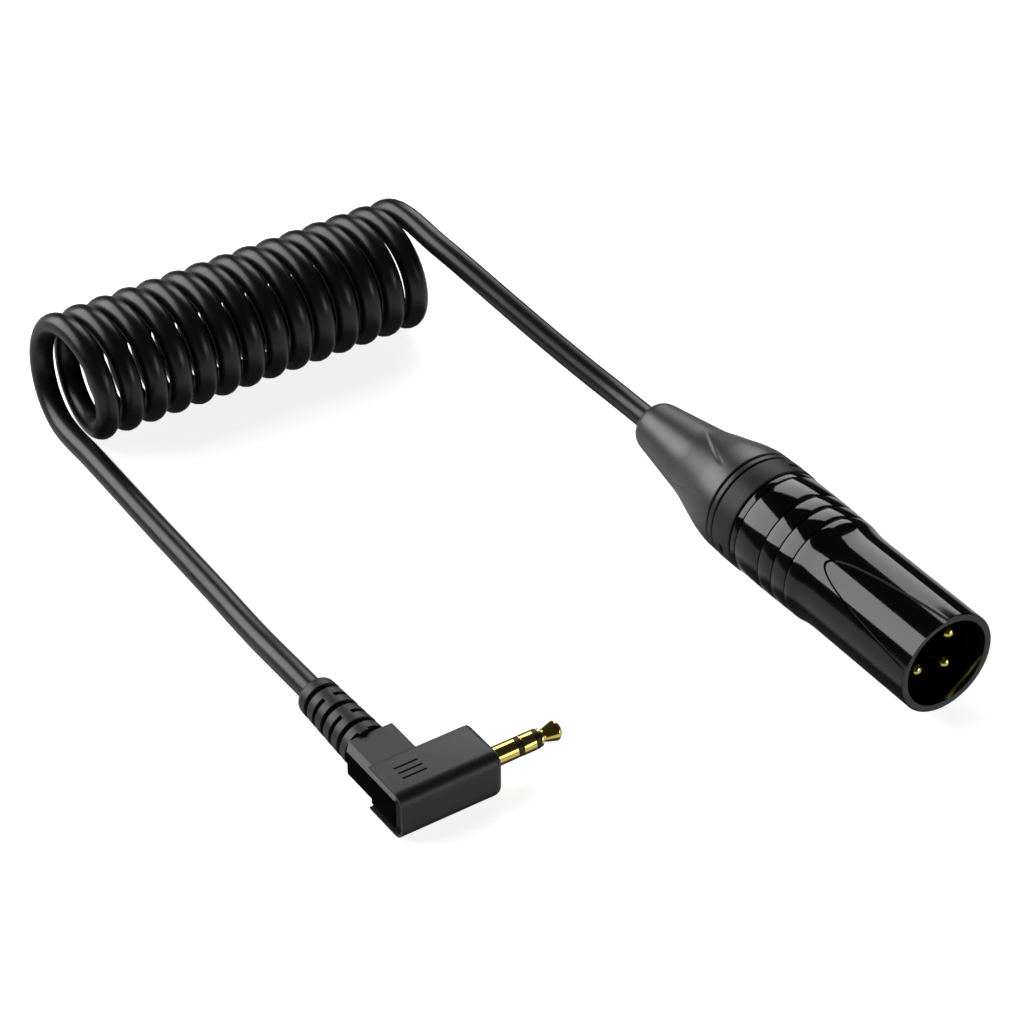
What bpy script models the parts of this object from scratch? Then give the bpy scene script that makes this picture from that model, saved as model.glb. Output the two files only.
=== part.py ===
"""Coiled microphone cable: a 3-pin XLR plug, a coiled cord and a right-angle 3.5 mm jack plug.

Metres, +Z up.  The cable lies on the surface Z = 0, as on a bench.  The XLR plug points along -Y,
the coil lies along X behind it, and the jack pin points along +X.  The origin is on the surface,
under the middle of the two connectors.
"""
import math

import bmesh
import bpy
from mathutils import Matrix, Vector

MM = 0.001

# ---------------------------------------------------------------- driving dimensions (millimetres)
GAP = 0.3                    # room between neighbouring pieces
PIN_GAP = 0.1                # room between the thin shells inside the jack pin

HALF_WIDTH = 50.9            # the connectors reach this far each way along X
HALF_DEPTH = 41.0            # the XLR plug reaches this far each way along Y

CORD_RADIUS = 2.2
COIL_RADIUS = 10.4           # from the coil's axis to the middle of the cord
COIL_PITCH = 5.1
COIL_TURNS = 14.5
COIL_START = (30.4, 109.2)   # X and Y of the end nearest the XLR plug

SHELL_RADIUS = 9.5           # the standard 19 mm XLR nose
BORE_RADIUS = 8.15
RING_RADIUS = 10.3           # the widest part, which rests on the surface
XLR_LENGTH = 2.0 * HALF_DEPTH
ROLL = math.radians(129.0)   # which way the key side of the XLR plug faces, from +X towards +Z

XLR_PIN_RADIUS = 1.2
XLR_PIN_CIRCLE = 4.1
XLR_PIN_SPREAD = math.radians(98.0)
INSERT_FACE = 17.5           # depth of the insert's front face behind the mouth
SHELL_REAR = 45.7
RING_FRONT = SHELL_REAR + GAP
RING_REAR = 50.7
NUT_FLANGE = RING_REAR + GAP
SLEEVE_FRONT = 52.5

JACK_RADIUS = 1.75           # the standard 3.5 mm pin
JACK_LENGTH = 14.0
PLUG_LENGTH = 19.4           # along the pin
PLUG_DEPTH = 9.9             # across the pin, level
PLUG_HEIGHT = 9.0
PLUG_FRONT_Y = -18.55        # the side that faces away from the cord
PLUG_WALL = 1.3
ARM_WIDTH = 9.2
ARM_DEPTH = 7.6
ARM_LOW = 1.6                # the cable arm's underside is this far above the housing's
MOUTH_WALL = 0.4             # the housing's wall round the end of the core
CORE_THICK = 2.3             # the core's end plate, along the pin
CORE_CHAMFER = 1.0
CORE_CORNER = 1.8
RELIEF_COLLAR = 2.85         # the relief's smooth collar, inside the arm's bore
CAVITY_HALF_X = 2.1          # the wire channel, whose corners stay inside the bore
CAVITY_HALF_Z = 1.95
RELIEF_LENGTH = 16.5

# ---------------------------------------------------------------- places worked out from them
XLR_X = HALF_WIDTH - RING_RADIUS
XLR_Z = RING_RADIUS
MOUTH_Y = -HALF_DEPTH

PLUG_BACK_X = -HALF_WIDTH
PLUG_FACE_X = PLUG_BACK_X + PLUG_LENGTH
PLUG_Z = PLUG_HEIGHT / 2.0
PIN_Y = PLUG_FRONT_Y + PLUG_DEPTH / 2.0
ARM_Y = PLUG_FRONT_Y + PLUG_DEPTH
ARM_END_Y = ARM_Y + ARM_DEPTH
ARM_X = PLUG_BACK_X + ARM_WIDTH / 2.0
CORE_LOW = MOUTH_WALL + GAP
CORE_HIGH = PLUG_HEIGHT - MOUTH_WALL - GAP
CORE_FRONT_Y = PLUG_FRONT_Y + MOUTH_WALL + GAP
RELIEF_Z = (ARM_LOW + CORE_HIGH) / 2.0

COIL_X0, COIL_Y = COIL_START
COIL_X1 = COIL_X0 - COIL_PITCH * COIL_TURNS
COIL_Z = COIL_RADIUS + CORD_RADIUS
COIL_OUTER = COIL_RADIUS + CORD_RADIUS
CORD_CLEAR_Y = COIL_Y - 10.7  # here the cord has left the coil's outer surface

# Routes of the two free stretches, from the connector to the coil.
XLR_ROUTE = [
    (XLR_X, 2.0, XLR_Z),
    (XLR_X, 20.0, XLR_Z),
    (XLR_X, 38.0, XLR_Z),
    (40.5, 44.5, 10.3),
    (40.0, 51.5, 10.8),
    (38.3, 60.0, 12.6),
    (36.3, 69.5, 15.0),
    (34.1, 80.0, 17.9),
    (32.0, 91.0, 20.8),
    (30.9, CORD_CLEAR_Y, 22.2),
]
PLUG_ROUTE = [
    (ARM_X, -2.9, RELIEF_Z),
    (ARM_X, 6.0, RELIEF_Z),
    (ARM_X, 14.5, RELIEF_Z),
    (ARM_X + 0.1, 20.5, 4.7),
    (-45.9, 27.5, 4.0),
    (-45.4, 35.0, 3.0),
    (-44.9, 43.0, 2.35),
    (-44.6, 51.0, CORD_RADIUS),
    (-44.4, 63.0, CORD_RADIUS),
    (-44.2, 76.0, CORD_RADIUS),
    (-43.9, 89.0, CORD_RADIUS),
    (-43.7, CORD_CLEAR_Y, CORD_RADIUS),
]


# ---------------------------------------------------------------- scene and material helpers
def clear_scene():
    """Start from an empty scene."""
    for obj in list(bpy.data.objects):
        bpy.data.objects.remove(obj, do_unlink=True)


def material(name, colour, roughness, metallic=0.0):
    """A Principled material with one colour and finish."""
    mat = bpy.data.materials.get(name) or bpy.data.materials.new(name)
    mat.use_nodes = True
    shader = mat.node_tree.nodes["Principled BSDF"]
    shader.inputs["Base Color"].default_value = (*colour, 1.0)
    shader.inputs["Roughness"].default_value = roughness
    shader.inputs["Metallic"].default_value = metallic
    return mat


BLACK_CHROME = ("black_chrome", (0.035, 0.035, 0.037), 0.12, 1.0)
GOLD = ("gold_plate", (0.92, 0.72, 0.26), 0.16, 1.0)
INSERT_PLASTIC = ("insert_plastic", (0.012, 0.012, 0.013), 0.45)
RING_PLASTIC = ("ring_plastic", (0.05, 0.05, 0.052), 0.35)
NUT_PLASTIC = ("nut_plastic", (0.03, 0.03, 0.032), 0.4)
CHUCK_PLASTIC = ("chuck_plastic", (0.75, 0.75, 0.72), 0.5)
BOOT_RUBBER = ("boot_rubber", (0.06, 0.06, 0.062), 0.5)
PLUG_PLASTIC = ("plug_plastic", (0.05, 0.05, 0.052), 0.42)
RELIEF_RUBBER = ("relief_rubber", (0.03, 0.03, 0.032), 0.55)
CORD_JACKET = ("cord_jacket", (0.018, 0.018, 0.019), 0.38)
WIRE_RED = ("wire_red", (0.55, 0.03, 0.025), 0.45)
WIRE_WHITE = ("wire_white", (0.8, 0.8, 0.78), 0.45)
WIRE_COPPER = ("wire_copper", (0.72, 0.33, 0.18), 0.35, 1.0)


def frame(name, origin, turn):
    """An empty that carries the pieces of one assembly or one joint axis."""
    empty = bpy.data.objects.new(name, None)
    empty.empty_display_size = 0.01
    empty.matrix_world = Matrix.Translation(Vector(origin) * MM) @ turn
    bpy.context.collection.objects.link(empty)
    return empty


def add_object(name, bm, finish, parent=None, smooth_angle=35.0):
    """Turn a bmesh given in millimetres into a named, closed object."""
    bmesh.ops.remove_doubles(bm, verts=bm.verts, dist=0.0005)
    bmesh.ops.recalc_face_normals(bm, faces=bm.faces)
    bmesh.ops.scale(bm, vec=(MM, MM, MM), verts=bm.verts)
    mesh = bpy.data.meshes.new(name)
    bm.to_mesh(mesh)
    bm.free()
    mesh.shade_smooth()
    mesh.set_sharp_from_angle(angle=math.radians(smooth_angle))
    obj = bpy.data.objects.new(name, mesh)
    bpy.context.collection.objects.link(obj)
    if finish is not None:
        mesh.materials.append(material(*finish))
    obj.parent = parent
    return obj


def cut(obj, cutter):
    """Subtract a cutter, which stays in the file as a hidden guide."""
    cutter.hide_render = True
    cutter.display_type = "WIRE"
    boolean = obj.modifiers.new(cutter.name, "BOOLEAN")
    boolean.operation = "DIFFERENCE"
    boolean.solver = "EXACT"
    boolean.object = cutter


# ---------------------------------------------------------------- shape helpers (millimetres)
def turned(outline, segments, centre=(0.0, 0.0)):
    """Revolve a closed outline of (distance along Z, radius) points about a line parallel to Z."""
    bm = bmesh.new()
    rings = []
    for along, radius in outline:
        if radius == 0.0:
            rings.append([bm.verts.new((centre[0], centre[1], along))])
            continue
        ring = []
        for step in range(segments):
            angle = 2.0 * math.pi * step / segments
            x = centre[0] + radius * math.cos(angle)
            y = centre[1] + radius * math.sin(angle)
            ring.append(bm.verts.new((x, y, along)))
        rings.append(ring)
    for first, second in zip(rings, rings[1:] + rings[:1]):
        bridge(bm, first, second)
    return bm


def bridge(bm, first, second):
    """Join two rings, or a ring and a point on the axis."""
    if len(first) == 1 and len(second) == 1:
        return
    count = max(len(first), len(second))
    for i in range(count):
        j = (i + 1) % count
        corners = []
        for ring, index in ((first, i), (first, j), (second, j), (second, i)):
            vert = ring[index] if len(ring) > 1 else ring[0]
            if vert not in corners:
                corners.append(vert)
        bm.faces.new(corners)


def box(low, high, round_edges=0.0, round_steps=2, pick=None):
    """A block between two corners; pick chooses the edges that are rounded, or all of them."""
    bm = bmesh.new()
    bmesh.ops.create_cube(bm, size=1.0)
    size = Vector(high) - Vector(low)
    middle = (Vector(high) + Vector(low)) / 2.0
    bmesh.ops.scale(bm, vec=size, verts=bm.verts)
    bmesh.ops.translate(bm, vec=middle, verts=bm.verts)
    if round_edges > 0.0:
        edges = [edge for edge in bm.edges if pick is None or pick(edge)]
        bmesh.ops.bevel(bm, geom=edges, offset=round_edges, segments=round_steps,
                        profile=0.5, affect="EDGES", clamp_overlap=True)
    return bm


def along_axis(edge, axis):
    """True when an edge of a block runs along the given axis."""
    start, end = edge.verts[0].co, edge.verts[1].co
    return abs(end[axis] - start[axis]) > 1e-6


def arc(centre_along, centre_radius, radius, start, end, steps):
    """Points of an arc in the (along, radius) plane; the angle runs from +along towards +radius."""
    points = []
    for step in range(steps + 1):
        angle = math.radians(start + (end - start) * step / steps)
        along = centre_along + radius * math.cos(angle)
        points.append((along, centre_radius + radius * math.sin(angle)))
    return points


def polar(radius, angle):
    """A point of the XLR cross-section; the angle turns from world +X towards world +Z."""
    return radius * math.cos(angle), -radius * math.sin(angle)


def smooth_path(points, spacing):
    """Read evenly spaced points from a Catmull-Rom curve through a route's points."""
    knots = [Vector(p) for p in points]
    knots = [knots[0] * 2.0 - knots[1]] + knots + [knots[-1] * 2.0 - knots[-2]]
    fine = []
    steps = 24
    for a, b, c, d in zip(knots, knots[1:], knots[2:], knots[3:]):
        for step in range(steps):
            t = step / steps
            fine.append(0.5 * (2.0 * b + (c - a) * t + (2.0 * a - 5.0 * b + 4.0 * c - d) * t * t
                               + (3.0 * b - a - 3.0 * c + d) * t * t * t))
    fine.append(knots[-2])
    length = sum((q - p).length for p, q in zip(fine, fine[1:]))
    count = max(2, round(length / spacing))
    result = [fine[0]]
    walked = 0.0
    for p, q in zip(fine, fine[1:]):
        step_length = (q - p).length
        while len(result) < count and walked + step_length >= len(result) * length / count:
            share = (len(result) * length / count - walked) / step_length
            result.append(p.lerp(q, share))
        walked += step_length
    result.append(fine[-1])
    return result


def tube(name, points, radius, spacing, resolution, finish):
    """A cord or wire as a curve with a round bevel and filled ends."""
    curve = bpy.data.curves.new(name, "CURVE")
    curve.dimensions = "3D"
    curve.bevel_depth = radius * MM
    curve.bevel_resolution = resolution
    curve.use_fill_caps = True
    spline = curve.splines.new("POLY")
    path = smooth_path(points, spacing)
    spline.points.add(len(path) - 1)
    for target, point in zip(spline.points, path):
        target.co = (*(point * MM), 1.0)
    curve.materials.append(material(*finish))
    obj = bpy.data.objects.new(name, curve)
    bpy.context.collection.objects.link(obj)
    return obj


# ---------------------------------------------------------------- XLR plug
def groove(along, radius, width=0.5, depth=0.25):
    """A fine V groove turned into an outer surface."""
    return [(along - width / 2.0, radius), (along, radius - depth), (along + width / 2.0, radius)]


def xlr_shell(axis):
    """The metal nose and body, bored through, with a shallow U-shaped flat on its key side."""
    rear = 10.15
    outer = [(0.0, SHELL_RADIUS - 0.2), (0.2, SHELL_RADIUS), (25.5, SHELL_RADIUS),
             (27.4, 9.6), (29.2, 9.85)]
    for along, radius in ((30.7, 10.0), (34.3, 10.08), (37.9, rear)):
        outer += groove(along, radius)
    outer += groove(44.3, rear, 0.4, 0.2)
    outer += [(SHELL_REAR - 0.2, rear), (SHELL_REAR, rear - 0.2)]
    inner = [(SHELL_REAR, 8.9), (SHELL_REAR - 0.15, 8.75), (33.0, 8.75), (33.0, BORE_RADIUS),
             (0.2, BORE_RADIUS), (0.0, BORE_RADIUS + 0.2)]
    shell = add_object("xlr_shell", turned(outer + inner, 60), BLACK_CHROME, axis)
    cut(shell, relief_cutter(axis))


def relief_cutter(axis):
    """The space above the U-shaped flat: widest at the mouth, closing to a round apex."""
    apex = 25.3
    floor = SHELL_RADIUS - 0.3
    top = SHELL_RADIUS + 1.0
    half_width = math.radians(36.0)
    stations = 12
    across = 6
    bm = bmesh.new()
    layers = []
    for i in range(stations + 1):
        share = i / stations
        along = -1.0 + (apex + 1.0) * (1.0 - share * share)
        spread = half_width * math.sqrt(max(0.0, 1.0 - along / apex)) if along > 0 else half_width
        spread = max(spread, math.radians(1.0))
        layer = []
        for radius in (floor, top):
            for j in range(across + 1):
                angle = ROLL + spread * (2.0 * j / across - 1.0)
                layer.append(bm.verts.new((*polar(radius, angle), along)))
        layers.append(layer)
    width = across + 1
    for first, second in zip(layers, layers[1:]):
        for j in range(across):
            bm.faces.new((first[j], first[j + 1], second[j + 1], second[j]))
            k = j + width
            bm.faces.new((first[k], first[k + 1], second[k + 1], second[k]))
        for j in (0, across):
            k = j + width
            bm.faces.new((first[j], first[k], second[k], second[j]))
    for layer in (layers[0], layers[-1]):
        for j in range(across):
            k = j + width
            bm.faces.new((layer[j], layer[j + 1], layer[k + 1], layer[k]))
    return add_object("cutter_relief", bm, None, axis)


def pin_places():
    """Angle of each of the three contacts: 1 and 2 beside the key, 3 opposite it."""
    third = ROLL + math.pi
    return (third - XLR_PIN_SPREAD, third + XLR_PIN_SPREAD, third)


def xlr_insert(axis):
    """The insulating block that carries the contacts, stopped by a flange at its rear."""
    radius = BORE_RADIUS - GAP
    flange = 8.75 - GAP
    outline = [(INSERT_FACE, 0.0), (INSERT_FACE, radius - 0.4), (INSERT_FACE + 0.4, radius),
               (33.0 + GAP, radius), (33.0 + GAP, flange), (35.3, flange), (35.3, 0.0)]
    insert = add_object("xlr_insert", turned(outline, 40), INSERT_PLASTIC, axis)
    hole_radius = XLR_PIN_RADIUS + GAP
    for number, angle in enumerate(pin_places(), 1):
        hole = [(10.0, 0.0), (10.0, hole_radius), (40.0, hole_radius), (40.0, 0.0)]
        centre = polar(XLR_PIN_CIRCLE, angle)
        cutter = add_object(f"cutter_pin_hole_{number}", turned(hole, 16, centre), None, axis)
        cut(insert, cutter)


def xlr_pins(axis):
    """Three contacts with round tips and open solder cups."""
    radius = XLR_PIN_RADIUS
    tip = 2.5
    rear = 37.5
    cup = 0.85
    outline = [(tip, 0.0)]
    outline += [(tip + 1.2 * (1.0 - math.cos(a)), radius * math.sin(a))
                for a in (math.radians(d) for d in (30, 60, 90))]
    outline += [(rear, radius), (rear, cup), (rear - 3.0, cup), (rear - 3.0, 0.0)]
    for number, angle in enumerate(pin_places(), 1):
        centre = polar(XLR_PIN_CIRCLE, angle)
        add_object(f"xlr_pin_{number}", turned(outline, 14, centre), GOLD, axis)


def xlr_chuck(axis):
    """The slotted clamp that grips the jacket when the gland nut is screwed home."""
    outline = [(35.3 + GAP, 6.9), (44.0, 6.9), (49.0, 5.5), (49.0, CORD_RADIUS + GAP),
               (43.0, CORD_RADIUS + GAP), (40.5, 5.6), (35.3 + GAP, 5.6)]
    chuck = add_object("xlr_chuck", turned(outline, 32), CHUCK_PLASTIC, axis)
    for number, (wide, tall) in enumerate(((20.0, 1.0), (1.0, 20.0)), 1):
        slot = box((-wide / 2.0, -tall / 2.0, 42.0), (wide / 2.0, tall / 2.0, 52.0))
        cut(chuck, add_object(f"cutter_chuck_slot_{number}", slot, None, axis))


def xlr_coding_ring(axis):
    """The identification ring between the shell and the boot, with two small windows."""
    edge = 0.25
    inner = 8.5
    outline = [(RING_FRONT, inner), (RING_FRONT, RING_RADIUS - edge),
               (RING_FRONT + edge, RING_RADIUS), (RING_REAR - edge, RING_RADIUS),
               (RING_REAR, RING_RADIUS - edge), (RING_REAR, inner)]
    ring = add_object("xlr_coding_ring", turned(outline, 56), RING_PLASTIC, axis)
    middle = (RING_FRONT + RING_REAR) / 2.0
    for number, angle in enumerate((60.0, 196.0), 1):
        window = box((8.0, -1.1, middle - 0.45), (12.0, 1.1, middle + 0.45))
        bmesh.ops.rotate(window, cent=(0, 0, 0), verts=window.verts,
                         matrix=Matrix.Rotation(-math.radians(angle), 3, "Z"))
        cut(ring, add_object(f"cutter_ring_window_{number}", window, None, axis))


def xlr_gland_nut(axis):
    """The hard nut inside the boot: its threaded nose screws into the shell."""
    nose = 8.75 - GAP
    outline = [(36.5, 7.25), (36.5, nose - 0.4), (36.9, nose), (45.4, nose), (45.4, 8.2),
               (NUT_FLANGE, 8.2), (NUT_FLANGE, 10.2), (SLEEVE_FRONT - GAP, 10.2),
               (SLEEVE_FRONT - GAP, 7.6), (59.0, 7.2), (66.0, 4.9), (66.0, 2.6),
               (52.0, 2.6), (49.6, 5.7), (44.0, 7.25)]
    add_object("xlr_gland_nut", turned(outline, 48), NUT_PLASTIC, axis)


def xlr_boot_sleeve(axis):
    """The soft bend protection moulded over the gland nut."""
    end = XLR_LENGTH
    outer = [(SLEEVE_FRONT, 9.9), (SLEEVE_FRONT + 0.3, 10.2), (54.5, 10.1), (57.5, 9.6),
             (62.3, 8.3), (65.5, 7.35), (67.5, 6.9)]
    outer += arc(end - 1.4, 3.3, 1.4, 80.0, 0.0, 3)
    hole = CORD_RADIUS + GAP
    inner = [(end, hole + 0.4), (end - 6.0, hole), (66.3, hole), (66.3, 5.2), (59.2, 7.55),
             (SLEEVE_FRONT, 7.95)]
    add_object("xlr_boot_sleeve", turned(outer + inner, 48), BOOT_RUBBER, axis)


def xlr_wires():
    """Two insulated conductors and the twisted screen, from the contacts to the jacket's end."""
    names = ("xlr_wire_screen", "xlr_wire_hot", "xlr_wire_cold")
    finishes = (WIRE_COPPER, WIRE_RED, WIRE_WHITE)
    radius = 0.5
    stations = ((35.6, XLR_PIN_CIRCLE), (38.2, XLR_PIN_CIRCLE), (40.4, 2.6), (42.7, 1.1))
    for name, finish, angle in zip(names, finishes, pin_places()):
        route = []
        for along, distance in stations:
            x = XLR_X + distance * math.cos(angle)
            z = XLR_Z + distance * math.sin(angle)
            route.append((x, MOUTH_Y + along, z))
        tube(name, route, radius, 1.2, 1, finish)


# ---------------------------------------------------------------- jack plug
def plug_housing():
    """The moulded shell around the jack: open at its back, with a window to the cable arm."""
    low = (PLUG_BACK_X, PLUG_FRONT_Y, 0.0)
    high = (PLUG_FACE_X, ARM_Y, PLUG_HEIGHT)

    def large(edge):
        return along_axis(edge, 0) and edge.verts[0].co.y < PIN_Y

    body = box(low, high)
    big = [edge for edge in body.edges if large(edge)]
    bmesh.ops.bevel(body, geom=big, offset=2.4, segments=5, profile=0.5, affect="EDGES")
    small = [edge for edge in body.edges
             if min(v.co.x for v in edge.verts) > PLUG_FACE_X - 1e-3]
    bmesh.ops.bevel(body, geom=small, offset=1.5, segments=3, profile=0.5, affect="EDGES")
    housing = add_object("plug_housing", body, PLUG_PLASTIC)
    cavity = box((PLUG_BACK_X - 1.0, PLUG_FRONT_Y + PLUG_WALL, PLUG_WALL),
                 (PLUG_FACE_X - 2.2, ARM_Y - PLUG_WALL, PLUG_HEIGHT - PLUG_WALL))
    cut(housing, add_object("cutter_housing_cavity", cavity, None))
    mouth = box((PLUG_BACK_X - 1.0, PLUG_FRONT_Y + MOUTH_WALL, MOUTH_WALL),
                (PLUG_BACK_X + CORE_THICK + GAP, ARM_Y + 4.0, PLUG_HEIGHT - MOUTH_WALL),
                2.0, 4, lambda edge: large(edge))
    cut(housing, add_object("cutter_housing_mouth", mouth, None))
    window = box((PLUG_BACK_X + 2.7, ARM_Y - 2.0, 3.2), (PLUG_BACK_X + 7.5, ARM_Y + 2.0, 7.0))
    cut(housing, add_object("cutter_housing_window", window, None))
    hole = turned([(-5.0, 0.0), (-5.0, JACK_RADIUS + GAP), (5.0, JACK_RADIUS + GAP), (5.0, 0.0)], 24)
    turn_to_x(hole)
    cut(housing, add_object("cutter_housing_hole", hole, None))
    for number in range(3):
        y = ARM_Y - 2.85 - 1.35 * number
        x = PLUG_BACK_X + 3.0
        mark = box((x, y - 0.18, PLUG_HEIGHT - 0.25), (x + 4.5, y + 0.18, PLUG_HEIGHT + 1.0))
        cut(housing, add_object(f"cutter_grip_mark_{number + 1}", mark, None))


def corner(y, z, radius, start, end, steps=4):
    """A rounded corner of an outline in the YZ plane, its arc turning from start to end degrees."""
    points = []
    for step in range(steps + 1):
        angle = math.radians(start + (end - start) * step / steps)
        points.append((y + radius * math.cos(angle), z + radius * math.sin(angle)))
    return points


def plug_core():
    """The inner moulding: an end plate that closes the housing's mouth, and the cable arm."""
    split_y = ARM_Y + GAP
    front = [(split_y, CORE_HIGH)]
    front += corner(CORE_FRONT_Y + CORE_CORNER, CORE_HIGH - CORE_CORNER, CORE_CORNER, 90.0, 180.0)
    front += corner(CORE_FRONT_Y + CORE_CORNER, CORE_LOW + CORE_CORNER, CORE_CORNER, 180.0, 270.0)
    front += [(split_y, CORE_LOW), (split_y, ARM_LOW)]
    rear = [(split_y, ARM_LOW), (ARM_END_Y, ARM_LOW), (ARM_END_Y, CORE_HIGH), (split_y, CORE_HIGH)]
    plate_x = PLUG_BACK_X + CORE_THICK
    bm = bmesh.new()
    corners = {}
    faces = []
    for outline in (front, rear):
        ring = []
        for y, z in outline:
            key = (round(y, 4), round(z, 4))
            if key not in corners:
                corners[key] = bm.verts.new((plate_x, y, z))
            ring.append(corners[key])
        faces.append(bm.faces.new(ring))
    made = bmesh.ops.extrude_face_region(bm, geom=faces)["geom"]
    back = [item for item in made if isinstance(item, bmesh.types.BMVert)]
    bmesh.ops.translate(bm, vec=(-CORE_THICK, 0.0, 0.0), verts=back)
    back_faces = [item for item in made if isinstance(item, bmesh.types.BMFace)]
    bmesh.ops.dissolve_faces(bm, faces=back_faces)
    rim = [edge for edge in bm.edges
           if all(vert.co.x < PLUG_BACK_X + 1e-3 for vert in edge.verts)]
    bmesh.ops.bevel(bm, geom=rim, offset=CORE_CHAMFER, segments=2, profile=0.5, affect="EDGES")
    arm_face = faces[1]
    made = bmesh.ops.extrude_face_region(bm, geom=[arm_face])["geom"]
    if arm_face.is_valid:
        bm.faces.remove(arm_face)
    tip = [item for item in made if isinstance(item, bmesh.types.BMVert)]
    bmesh.ops.translate(bm, vec=(ARM_WIDTH - CORE_THICK, 0.0, 0.0), verts=tip)
    core = add_object("plug_core", bm, PLUG_PLASTIC)
    cavity = box((ARM_X - CAVITY_HALF_X, ARM_Y - 1.0, RELIEF_Z - CAVITY_HALF_Z),
                 (ARM_X + CAVITY_HALF_X, ARM_END_Y - 1.5, RELIEF_Z + CAVITY_HALF_Z))
    cut(core, add_object("cutter_core_cavity", cavity, None))
    bore_radius = RELIEF_COLLAR + GAP
    bore = turned([(-5.0, 0.0), (-5.0, bore_radius), (5.0, bore_radius), (5.0, 0.0)], 24)
    bmesh.ops.rotate(bore, cent=(0, 0, 0), verts=bore.verts,
                     matrix=Matrix.Rotation(math.radians(-90.0), 3, "X"))
    bmesh.ops.translate(bore, vec=(ARM_X, ARM_END_Y + 3.0, RELIEF_Z), verts=bore.verts)
    cut(core, add_object("cutter_core_bore", bore, None))


def plug_strain_relief():
    """The ribbed soft tail: full grooves alternate with slots that leave a bridge on two sides."""
    root = 4.15
    tail = 3.6
    pitch = 2.7
    width = 0.95
    core = 2.95
    hole = CORD_RADIUS + GAP

    def surface(along):
        return root + (tail - root) * along / RELIEF_LENGTH

    outline = [(-1.9, hole), (-1.9, RELIEF_COLLAR), (GAP, RELIEF_COLLAR), (GAP, surface(GAP))]
    for number in range(3):
        along = RELIEF_LENGTH - 2.9 - 2.0 * pitch * (2 - number)
        outline += [(along - width / 2.0, surface(along)), (along - width / 2.0, core),
                    (along + width / 2.0, core), (along + width / 2.0, surface(along))]
    outline += arc(RELIEF_LENGTH - 1.0, tail - 1.0, 1.0, 90.0, 0.0, 3)
    outline.append((RELIEF_LENGTH, hole))
    axis = frame("relief_axis", (ARM_X, ARM_END_Y, RELIEF_Z), Matrix.Rotation(-math.pi / 2, 4, "X"))
    relief = add_object("plug_strain_relief", turned(outline, 28), RELIEF_RUBBER, axis)
    for number in range(3):
        along = RELIEF_LENGTH - 2.9 - pitch * (2 * number + 1)
        for side in (1.0, -1.0):
            slot = box((side * 0.9, -6.0, along - width / 2.0), (side * 6.0, 6.0, along + width / 2.0))
            inner = turned([(along - 2.0, 0.0), (along - 2.0, core), (along + 2.0, core),
                            (along + 2.0, 0.0)], 28)
            side_name = "right" if side > 0.0 else "left"
            slot_object = add_object(f"cutter_relief_slot_{side_name}_{number + 1}", slot, None, axis)
            slot_object.rotation_euler = (0.0, 0.0, math.radians(-10.0))
            core_object = add_object(f"cutter_relief_core_{side_name}_{number + 1}", inner, None, axis)
            cut(slot_object, core_object)
            cut(relief, slot_object)


def turn_to_x(bm):
    """Lay a shape turned about Z along world X, starting at the housing's face."""
    bmesh.ops.rotate(bm, cent=(0, 0, 0), verts=bm.verts, matrix=Matrix.Rotation(math.pi / 2, 3, "Y"))
    bmesh.ops.translate(bm, vec=(PLUG_FACE_X, PIN_Y, PLUG_Z), verts=bm.verts)


def jack_piece(name, outline, finish, segments=24):
    """A turned piece of the jack pin; distances run from the housing's face towards the tip."""
    bm = turned(outline, segments)
    turn_to_x(bm)
    add_object(name, bm, finish)


def jack():
    """The pin: sleeve, ring and tip, kept apart by two stepped insulators, one tube in another."""
    rod, inner_tube, ring_tube, outer_tube, wall = 0.4, 0.72, 1.08, 1.38, 1.48
    r = JACK_RADIUS
    g = PIN_GAP
    sleeve_end, ring_start, ring_end, tip_start = 5.05, 6.1, 8.55, 9.6
    jack_piece("jack_sleeve", [
        (-4.0, wall), (-4.0, 2.7), (-2.5, 2.7), (-2.5, r), (sleeve_end, r), (sleeve_end, wall)], GOLD)
    jack_piece("jack_insulator_rear", [
        (-5.2, ring_tube + g), (-5.2, outer_tube), (sleeve_end + g, outer_tube), (sleeve_end + g, r),
        (ring_start - g, r), (ring_start - g, ring_tube + g)], INSERT_PLASTIC)
    jack_piece("jack_ring", [
        (-6.4, inner_tube + g), (-6.4, ring_tube), (ring_start, ring_tube), (ring_start, r),
        (ring_end, r), (ring_end, inner_tube + g)], GOLD)
    jack_piece("jack_insulator_front", [
        (-7.4, rod + g), (-7.4, inner_tube), (ring_end + g, inner_tube), (ring_end + g, r),
        (tip_start - g, r), (tip_start - g, rod + g)], INSERT_PLASTIC)
    jack_piece("jack_tip", [
        (-8.4, 0.0), (-8.4, rod), (tip_start, rod), (tip_start, 1.6), (tip_start + 0.35, 1.6),
        (tip_start + 0.8, 1.05), (12.7, 1.7), (13.0, r), (13.5, 1.45), (JACK_LENGTH, 0.7),
        (JACK_LENGTH, 0.0)], GOLD)


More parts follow.
